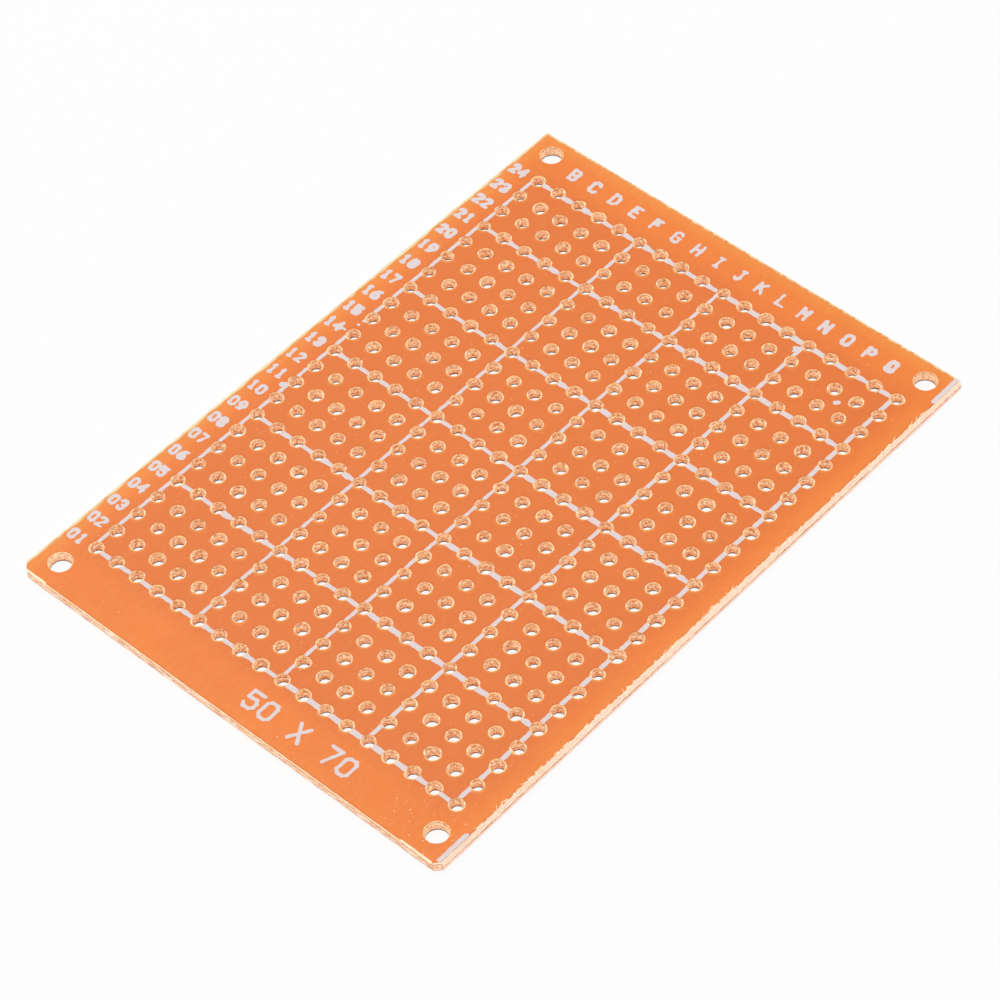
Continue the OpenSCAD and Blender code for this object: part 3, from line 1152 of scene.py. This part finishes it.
def printX(column):
    return columnX(column) + gridPrint["shiftX"] + gridPrint["growth"] * (column / (columns - 1) - 0.5)


def printY(row):
    return rowY(row) + gridPrint["shiftY"]


# Smooth random numbers from -1 to 1 over a plane
def cloudNoise(x, y, size, seed):
    wide, long = 257, 263
    table = np.random.default_rng(seed).uniform(-1, 1, (wide, long))
    gx, gy = x / size, y / size
    ix, iy = np.floor(gx).astype(int), np.floor(gy).astype(int)
    fx, fy = gx - ix, gy - iy
    fx, fy = fx * fx * (3 - 2 * fx), fy * fy * (3 - 2 * fy)

    def pick(a, b):
        return table[(ix + a) % wide, (iy + b) % long]

    return (pick(0, 0) * (1 - fx) * (1 - fy) + pick(1, 0) * fx * (1 - fy)
            + pick(0, 1) * (1 - fx) * fy + pick(1, 1) * fx * fy)


# Distances to the ink's outline over a grid; a stroke is (x1, y1, x2, y2, half width)
def inkField(strokes, look, seed):
    strokes = np.array(strokes, float)
    cell, edge = look["cell"], 0.5
    low = np.minimum(strokes[:, :2], strokes[:, 2:4]).min(0) - edge - strokes[:, 4].max()
    high = np.maximum(strokes[:, :2], strokes[:, 2:4]).max(0) + edge + strokes[:, 4].max()
    xs, ys = np.arange(low[0], high[0], cell), np.arange(low[1], high[1], cell)
    field = np.full((len(xs), len(ys)), 1.0)

    def window(x1, y1, x2, y2, reach):
        i0, i1 = np.searchsorted(xs, [min(x1, x2) - reach, max(x1, x2) + reach])
        j0, j1 = np.searchsorted(ys, [min(y1, y2) - reach, max(y1, y2) + reach])
        return slice(i0, i1), slice(j0, j1)

    for x1, y1, x2, y2, half in strokes:
        part = window(x1, y1, x2, y2, half + look["strokeReach"])
        gx, gy = xs[part[0], None], ys[None, part[1]]
        dx, dy = x2 - x1, y2 - y1
        t = np.clip(((gx - x1) * dx + (gy - y1) * dy) / max(dx * dx + dy * dy, 1e-9), 0, 1)
        distance = np.hypot(gx - x1 - t * dx, gy - y1 - t * dy) - half
        old = field[part]
        soft = np.clip(0.5 + (old - distance) / (2 * look["merge"]), 0, 1)
        field[part] = old + (distance - old) * soft - look["merge"] * soft * (1 - soft)
    gx, gy = np.meshgrid(xs, ys, indexing="ij")
    field += cloudNoise(gx, gy, look["wobbleSize"], seed) * look["wobble"]
    field += cloudNoise(gx, gy, look["fuzzSize"], seed + 1) * look["fuzz"]
    for c in range(columns):
        for r in range(rows):
            x, y = columnX(c) + rimShift[c, r, 0], rowY(r) + rimShift[c, r, 1]
            part = window(x, y, x, y, look["holeReach"])
            if part[0].start < part[0].stop and part[1].start < part[1].stop:
                gx, gy = xs[part[0], None] - x, ys[None, part[1]] - y
                away = np.hypot(gx, gy)
                chip, reach = rimChips[c, r], np.hypot(*rimChips[c, r])
                facing = (gx * chip[0] + gy * chip[1]) / np.maximum(away * max(reach, 1e-6), 1e-9)
                lobe = np.clip(facing, 0, 1) ** punchLook["lobeSharpness"] * reach
                radius = punchLook["rimRadius"] + rimExtra[c, r] + lobe
                field[part] = np.maximum(field[part], radius - away)
    field[[0, -1], :] = field[:, [0, -1]] = 1.0
    return xs, ys, field


# Closed outlines of where the field is below zero, with the ink on the left
def contourLoops(xs, ys, field):
    inside = field < 0
    code = (inside[:-1, :-1] * 1 + inside[1:, :-1] * 2 + inside[1:, 1:] * 4 + inside[:-1, 1:] * 8)
    # a cell's edges are 0 bottom, 1 right, 2 top, 3 left; each pair runs from one edge to the next
    steps = {1: [(0, 3)], 2: [(1, 0)], 3: [(1, 3)], 4: [(2, 1)], 5: [(0, 3), (2, 1)], 6: [(2, 0)],
             7: [(2, 3)], 8: [(3, 2)], 9: [(0, 2)], 10: [(1, 0), (3, 2)], 11: [(1, 2)], 12: [(3, 1)],
             13: [(0, 1)], 14: [(3, 0)]}
    edgeOf = {0: (0, 0, 0), 1: (1, 0, 1), 2: (0, 1, 0), 3: (0, 0, 1)}  # shift in x, in y, and direction

    def edgeKey(i, j, side):
        di, dj, upright = edgeOf[side]
        return (i + di, j + dj, upright)

    follow = {}
    for i, j in zip(*np.nonzero((code > 0) & (code < 15))):
        for start, end in steps[int(code[i, j])]:
            follow[edgeKey(i, j, start)] = edgeKey(i, j, end)

    def crossing(key):
        i, j, upright = key
        a, b = field[i, j], field[i, j + 1] if upright else field[i + 1, j]
        t = min(max(a / (a - b), 0.02), 0.98)
        if upright:
            return xs[i], ys[j] + t * (ys[j + 1] - ys[j])
        return xs[i] + t * (xs[i + 1] - xs[i]), ys[j]

    loops = []
    while follow:
        start, key = next(iter(follow.items()))
        del follow[start]
        loop = [start]
        while key != start:
            loop.append(key)
            key = follow.pop(key)
        points = np.array([crossing(k) for k in loop])
        following = np.roll(points, -1, 0)
        area = abs((points[:, 0] * following[:, 1] - points[:, 1] * following[:, 0]).sum()) / 2
        if area > inkPrint["smallest"]:
            loops.append(thinned(points))
    return loops


# Drops most of the points that lie on the line between their neighbours
def thinned(points):
    before, after = np.roll(points, 1, 0), np.roll(points, -1, 0)
    chord = after - before
    off = np.abs(chord[:, 0] * (points - before)[:, 1] - chord[:, 1] * (points - before)[:, 0])
    off /= np.maximum(np.hypot(chord[:, 0], chord[:, 1]), 1e-9)
    return points[(off > inkPrint["straight"]) | (np.arange(len(points)) % 4 == 0)]


# A closed skin of ink on the panel's top face
def inkPiece(name, strokes, look, seed, limit=None):
    xs, ys, field = inkField(strokes, look, seed)
    if limit:
        field = np.maximum(field, limit(xs[:, None], ys[None, :]))
        field[[0, -1], :] = field[:, [0, -1]] = 1.0
    loops = contourLoops(xs, ys, field)
    flat, triangles, rims = trianglesInside(loops)
    count = len(flat)
    levels = [(topZ + look["thickness"]) * mm, (topZ - look["sink"]) * mm]
    vertices = [(x * mm, y * mm, z) for z in levels for x, y in flat]
    faces = [tuple(f) for f in triangles] + [tuple(i + count for i in reversed(f)) for f in triangles]
    faces += [(b, a, a + count, b + count) for a, b in rims]
    mesh = bpy.data.meshes.new(name)
    mesh.from_pydata(vertices, [], faces)
    mesh.materials.append(whiteInk)
    piece = addObject(name, mesh)
    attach(piece, "root")
    print(name, "has", len(loops), "outlines and", triangleCount(mesh), "triangles")
    return piece


lineColumns = [0] + list(range(columns - 1, gridPrint["step"] - 1, -gridPrint["step"]))
lineRows = list(range(0, rows - 1, gridPrint["step"])) + [rows - 1]
gridFlaws = [  # drops and thick places of the printed lines, as (x, y, x, y, half width)
    (-21.73, 5.12, -21.71, 5.12, 0.16),
    (-22.01, -4.66, -21.71, -4.50, 0.32),
    (18.02, 25.56, 18.18, 25.70, 0.25),
    (5.47, -9.54, 5.49, -9.50, 0.07),
    (11.37, 1.46, 11.39, 1.46, 0.07),
    (11.02, 28.40, 11.36, 28.46, 0.24),
    (11.10, 27.95, 11.14, 28.10, 0.10),
    (17.24, 21.55, 17.30, 21.50, 0.07),
    (17.89, 21.56, 17.99, 21.50, 0.12),
    (18.34, 21.58, 18.54, 21.62, 0.12),
]


def gridStrokes(look):
    left, right = printX(0), printX(columns - 1)
    bottom, top = printY(0), printY(rows - 1)
    half = {c: look["longWidths"].get(c, 0.4) / 2 for c in lineColumns}
    strokes = [(printX(c), bottom, printX(c), top, half[c]) for c in lineColumns if c]
    gap = look["brokenFrom"]
    strokes += [(left, bottom, left, rowY(gap), half[0]),
                (left, rowY(gap + 1) - look["goesOnBefore"], left, top, half[0])]
    swell = [printX(column) for column in look["swellColumns"]]
    for r in lineRows:
        strokes.append((left, printY(r), right, printY(r), look["crossWidth"] / 2))
        strokes.append((swell[0], printY(r), swell[1], printY(r), look["crossSwell"] / 2))
    random, shift = np.random.default_rng(look["seed"]), look["blotShift"]
    for r in lineRows:
        for c in range(columns - 1):
            middle = (printX(c) + printX(c + 1)) / 2 + random.uniform(-shift[0], shift[0])
            y = printY(r) + random.uniform(-shift[1], shift[1])
            reach, more = random.uniform(*look["blotReach"]), random.uniform(*look["blotSize"])
            if random.random() < look["blotShare"]:
                strokes.append((middle - reach, y, middle + reach, y, look["crossWidth"] / 2 + more))
    return strokes + gridFlaws


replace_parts(inkPiece("gridInk", gridStrokes(gridPrint), inkPrint, 3), "printed_grid")

markLook = {
    "width": 0.4,
    "spread": 0.03,  # how far the ink ran past its half width
    "firstStart": 0.5,  # from the front end
    "firstLength": 4.1,
    "lastLength": 3.75,
    "edge": boardHigh.x - 0.185,  # where the ink stops short of the scored edge
    "firstStop": boardLow.y + 0.45,
    "lastStop": boardHigh.y - 0.05,
}


def markStrokes(look):
    half = look["width"] / 2
    x = look["edge"] - half
    ends = [(boardLow.y + look["firstStart"], boardLow.y + look["firstLength"] - half),
            (boardHigh.y, boardHigh.y - look["lastLength"] + half)]
    return [(x, start, x, end, half + look["spread"]) for start, end in ends]


# Above zero outside the panel's top face, so that ink stops there
def onTopFace(x, y):
    return np.maximum(x - markLook["edge"], np.maximum(y - markLook["lastStop"], markLook["firstStop"] - y))


cornerStrokes = markStrokes(markLook)
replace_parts(inkPiece("cornerMarkInk", cornerStrokes, inkPrint, 5, onTopFace), "corner_marks")


# Printed numbers and letters: plain strokes on a box 4 wide and 6 high

roundStroke = [(1, 0), (3, 0), (4, 1), (4, 5), (3, 6), (1, 6), (0, 5), (0, 1), (1, 0)]
glyphs = {
    "0": [roundStroke],
    "1": [[(1, 5), (2, 6), (2, 0)], [(1, 0), (3, 0)]],
    "2": [[(0, 5), (1, 6), (3, 6), (4, 5), (4, 4), (0, 0), (4, 0)]],
    "3": [[(0, 5), (1, 6), (3, 6), (4, 5), (4, 4), (3, 3), (4, 2), (4, 1), (3, 0), (1, 0), (0, 1)],
          [(2, 3), (3, 3)]],
    "4": [[(3, 0), (3, 6), (0, 2), (4, 2)], [(1.6, 2.9), (2.5, 3.9)]],
    "5": [[(4, 6), (0, 6), (0, 3.4), (3, 3.6), (4, 2.6), (4, 1), (3, 0), (1, 0), (0, 1)]],
    "6": [[(4, 6), (2, 5.5), (0, 3), (0, 1), (1, 0), (3, 0), (4, 1), (4, 2.4), (3, 3.4), (1, 3.4), (0, 2.4)]],
    "7": [[(0, 6), (4, 6), (1.4, 0)]],
    "8": [[(1, 3), (0, 4), (0, 5), (1, 6), (3, 6), (4, 5), (4, 4), (3, 3), (1, 3), (0, 2), (0, 1), (1, 0),
           (3, 0), (4, 1), (4, 2), (3, 3)]],
    "9": [[(0, 0), (2, 0.5), (4, 3), (4, 5), (3, 6), (1, 6), (0, 5), (0, 3.6), (1, 2.6), (3, 2.6), (4, 3.6)]],
    "B": [[(0, 0), (0, 6), (3, 6), (4, 5), (4, 4), (3, 3), (4, 2), (4, 1), (3, 0), (0, 0)], [(0, 3), (3, 3)]],
    "C": [[(4, 5), (3, 6), (1, 6), (0, 5), (0, 1), (1, 0), (3, 0), (4, 1)]],
    "D": [[(0, 0), (0, 6), (2.6, 6), (4, 4.6), (4, 1.4), (2.6, 0), (0, 0)]],
    "E": [[(4, 6), (0, 6), (0, 0), (4, 0)], [(0, 3), (3, 3)], [(0.8, 4.6), (1.6, 4.5)]],
    "F": [[(4, 6), (0, 6), (0, 0)], [(0, 3), (3, 3)], [(0.8, 4.6), (2.6, 4.4)]],
    "G": [[(4, 5), (3, 6), (1, 6), (0, 5), (0, 1), (1, 0), (3, 0), (4, 1), (4, 2.8), (2.4, 2.8)]],
    "H": [[(0, 0), (0, 6)], [(4, 0), (4, 6)], [(0, 3), (4, 3)]],
    "I": [[(2, 0), (2, 6)], [(0.8, 6), (3.2, 6)], [(0.8, 0), (3.2, 0)]],
    "J": [[(1.6, 6), (4, 6)], [(3, 6), (3, 1), (2.2, 0), (1, 0), (0.4, 1)]],
    "K": [[(0, 0), (0, 6)], [(4, 6), (0, 2.6)], [(1.4, 3.6), (4, 0)]],
    "L": [[(0, 6), (0, 0), (4, 0)]],
    "M": [[(0, 0), (0, 6), (2, 3.2), (4, 6), (4, 0)]],
    "N": [[(0, 0), (0, 6), (4, 0), (4, 6)]],
    "O": [roundStroke],
    "P": [[(0, 0), (0, 6), (3, 6), (4, 5), (4, 3.8), (3, 2.8), (0, 2.8)], [(0.6, 3.2), (0.6, 5.4)]],
    "Q": [roundStroke, [(3.2, 1.2), (0.8, 1.4), (0.8, 3)]],
    "X": [[(0, 0), (4, 6)], [(0, 6), (4, 0)]],
    " ": [],
}


# Strokes of a word whose first letter's box has its lower left corner at x, y
def wordStrokes(word, x, y, look, more=0.0):
    strokes = []
    for place, letter in enumerate(word):
        left = x + place * look["advance"]
        for line in glyphs[letter]:
            dots = [(left + px / 4 * look["width"], y + py / 6 * look["height"]) for px, py in line]
            strokes += [(*a, *b, look["half"] + more) for a, b in zip(dots, dots[1:])]
    return strokes


boldPrint = dict(inkPrint, merge=0.12, wobble=0.045)

rowNumberLook = {"left": 0.71, "below": 0.02, "height": 0.98, "width": 0.56, "advance": 1.02, "half": 0.155,
                 "blotted": 0.028, "blottedFrom": 12,
                 "smear": (-23.01, 3.88, -22.26, 3.86, 0.13)}  # it runs out of the fourteenth number


def rowNumberStrokes(look):
    strokes = []
    for row in range(rows):
        y = printY(row) - look["below"] - look["height"] / 2
        more = look["blotted"] if row >= look["blottedFrom"] else 0
        strokes += wordStrokes("%02d" % (row + 1), boardLow.x + look["left"], y, look, more)
    return strokes + [look["smear"]]


inkPiece("rowNumbers", rowNumberStrokes(rowNumberLook), boldPrint, 11)

letterLook = {"right": 0.04, "above": 2.88, "height": 1.24, "width": 0.7, "advance": 1, "half": 0.15,
              "blotted": {"B": 0.02, "C": 0.02, "M": 0.025, "N": 0.045, "O": 0.035, "P": 0.035, "Q": 0.04}}


def columnLetterStrokes(look):
    strokes = []
    y = printY(rows - 1) + look["above"] - look["height"] / 2
    for column in range(1, columns - 1):
        letter = chr(ord("A") + column)
        x = printX(column) + look["right"] - look["width"] / 2
        strokes += wordStrokes(letter, x, y, look, look["blotted"].get(letter, 0))
    return strokes


inkPiece("columnLetters", columnLetterStrokes(letterLook), boldPrint, 17)

noteLook = {"text": "50 X 70", "left": 0.62, "low": -33.15, "height": 1.82, "width": 1.16, "advance": 1.84,
            "half": 0.17}
noteStrokes = wordStrokes(noteLook["text"], noteLook["left"], noteLook["low"], noteLook)
inkPiece("sizeNote", noteStrokes, inkPrint, 19)


# Copper rings on the underside, one round each hole

ringLook = {"innerRadius": 0.61, "outerRadius": 0.96, "edge": 0.012, "segments": 32}


# One flat ring with eased edges, set on every point
def copperRingTree():
    inputs = {"Inner Radius": 1.0, "Outer Radius": 1.0, "Edge": 1.0, "Thickness": 1.0, "Segments": 32,
              "Copper": None}
    tree, get, out = newGroup("copperRing", inputs, [])
    inner, outer, edge, thickness = (get[name] for name in list(inputs)[:4])
    sheet, cosine, sine, ring = ringSheet(get["Segments"], 7)
    radius = ringSwitch(ring, [inner, outer, outer, minus(outer, edge), plus(inner, edge), inner, inner])
    height = ringSwitch(ring, [thickness, thickness, edge, 0.0, 0.0, edge, thickness])
    closed = bendSheet(sheet, cosine, sine, radius, height, 1e-6)
    feed(out[0], shapeStep("SetMaterial", setOnPoints(get["Geometry"], closed), Material=get["Copper"]))
    return tree


# Faces outwards, and only the one material that is in use
def finishMesh(mesh, material):
    skin = bmesh.new()
    skin.from_mesh(mesh)
    bmesh.ops.recalc_face_normals(skin, faces=skin.faces)
    for face in skin.faces:
        face.material_index = 0
    skin.to_mesh(mesh)
    skin.free()
    mesh.materials.clear()
    mesh.materials.append(material)


def copperRings(look):
    values = {"Inner Radius": look["innerRadius"] * mm, "Outer Radius": look["outerRadius"] * mm,
              "Edge": look["edge"] * mm, "Thickness": undersideZ * mm, "Segments": look["segments"],
              "Copper": copperFoil}
    mesh = meshFromTree(holePoints(), copperRingTree(), values, "copperRings")
    finishMesh(mesh, copperFoil)
    rings = addObject("copperRings", mesh)
    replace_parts(rings, *padRows)
    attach(rings, "root")
    print("copper rings have", triangleCount(mesh), "triangles")


copperRings(ringLook)


# Loose fibres: in the holes, on the face, and splinters along the scored edge

fibreLook = {
    "inHoles": {"count": 300, "length": (0.12, 0.42), "width": (0.03, 0.07), "thick": 0.03,
                "depth": (0.06, 0.6), "turn": (-1.2, 1.2), "tilt": (-0.5, 0.1)},
    "onFace": {"count": 9, "length": (0.15, 0.35), "width": (0.03, 0.06), "thick": 0.02,
               "turn": (-0.7, 0.7)},
    "splinters": {"count": 70, "length": (0.3, 0.8), "width": (0.08, 0.2), "thick": 0.02,
                  "turn": (-0.2, 0.9), "turnShares": (0.3, 1.0), "inset": (0.0, 0.12),
                  "fromEnds": (4.5, 4.2)},
    "bend": 0.35,
    "colour": (255, 228, 188),
    "shade": (222, 146, 92),
    # painted light: the fibres glow in their own colour
    "paintedGlow": 0.25,
    "seed": 33,
}


def looseFibreMaterial(look):
    material, tree, shader = newMaterial("looseFibre", 0.8, 0.15)
    spots = useGroup(tree, layerStreaks, {"Fineness": 2.0})["Spots"]
    colour = layered(look, tint(*look["colour"]), ("shade", softStep(spots, 0.5, 0.62, 0.0, 0.5)))
    dressShader(shader, colour, paintedGlow=look["paintedGlow"])
    return material


# A tapered, bent sliver on every point, along the point's heading
def fibreTree():
    inputs = {"Bend": 0.3, "Ceiling": 1.0, "Side Limit": 1.0, "Fibre": None}
    tree, get, out = newGroup("looseFibres", inputs, [])
    cone = addNode(tree, "GeometryNodeMeshCone", {"Vertices": 5, "Side Segments": 4, "Radius Top": 0.12,
                                                  "Radius Bottom": 0.5, "Depth": 1.0}).outputs[0]
    marked = storedValue(cone, "along", split(pointPlace(tree))[2])
    heading, size, side = (namedValue(tree, name, "FLOAT_VECTOR") for name in ("heading", "size", "side"))
    turn = addNode(tree, "FunctionNodeAlignRotationToVector", {"Vector": heading}, axis="Z").outputs[0]
    fibres = setOnPoints(get["Geometry"], marked, Rotation=turn, Scale=size)
    along = namedValue(tree, "along")
    bent = shapeStep("SetPosition", fibres, Offset=scaled(side, times(times(along, along), get["Bend"])))
    now = split(pointPlace(tree))
    capped = combine(least(now[0], get["Side Limit"]), now[1], least(now[2], get["Ceiling"]))
    under = shapeStep("SetPosition", bent, Position=capped)
    feed(out[0], shapeStep("SetMaterial", under, Material=get["Fibre"]))
    return tree


# Each fibre's root, heading, bending side and size
def fibreRows(look):
    random = np.random.default_rng(look["seed"])
    rowsOf = {"root": [], "heading": [], "side": [], "size": []}

    def addFibre(kind, root, turn, tilt):
        length, width = random.uniform(*kind["length"]), random.uniform(*kind["width"])
        level = np.array((math.cos(turn), math.sin(turn), 0))
        rowsOf["root"].append(root)
        rowsOf["heading"].append((*level[:2] * math.cos(tilt), math.sin(tilt)))
        rowsOf["side"].append(np.array((-level[1], level[0], 0)) * length * random.uniform(-1, 1))
        rowsOf["size"].append((width, kind["thick"], length))

    # a root on the wall or the rim of a hole picked at random, and its turn round that hole
    def holeRoot(radius, height):
        c, r, a = random.integers(columns), random.integers(rows), random.uniform(0, 2 * math.pi)
        return (columnX(c) + radius * math.cos(a), rowY(r) + radius * math.sin(a), height()), a

    kind = look["inHoles"]
    for _ in range(kind["count"]):
        root, turn = holeRoot(punchLook["throatRadius"] + 0.01, lambda: topZ - random.uniform(*kind["depth"]))
        addFibre(kind, root, turn + math.pi + random.uniform(*kind["turn"]), random.uniform(*kind["tilt"]))
    kind = look["onFace"]
    for _ in range(kind["count"]):
        root, turn = holeRoot(punchLook["rimRadius"] + 0.02, lambda: topZ + 0.002)
        addFibre(kind, root, turn + random.uniform(*kind["turn"]), 0.0)
    kind = look["splinters"]
    for _ in range(kind["count"]):
        y = random.uniform(boardLow.y + kind["fromEnds"][0], boardHigh.y - kind["fromEnds"][1])
        root = (topFaceEdge - random.uniform(*kind["inset"]), y, topZ - 0.002)
        turn = math.pi / 2 * random.choice((-1, 1))
        turn += random.uniform(*kind["turn"]) * random.choice(kind["turnShares"])
        addFibre(kind, root, turn, 0.0)
    return {name: np.array(values) * (1 if name == "heading" else mm) for name, values in rowsOf.items()}


def looseFibres(look):
    attributes = fibreRows(look)
    points = pointMesh("fibrePoints", attributes.pop("root"), attributes)
    material = looseFibreMaterial(look)
    values = {"Bend": look["bend"], "Ceiling": (inkHigh.z - 0.002) * mm,
              "Side Limit": (boardHigh.x - 0.005) * mm, "Fibre": material}
    mesh = meshFromTree(points, fibreTree(), values, "looseFibres")
    finishMesh(mesh, material)
    fibres = addObject("looseFibres", mesh)
    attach(fibres, "root")
    print("loose fibres have", triangleCount(mesh), "triangles")


looseFibres(fibreLook)

print("done")
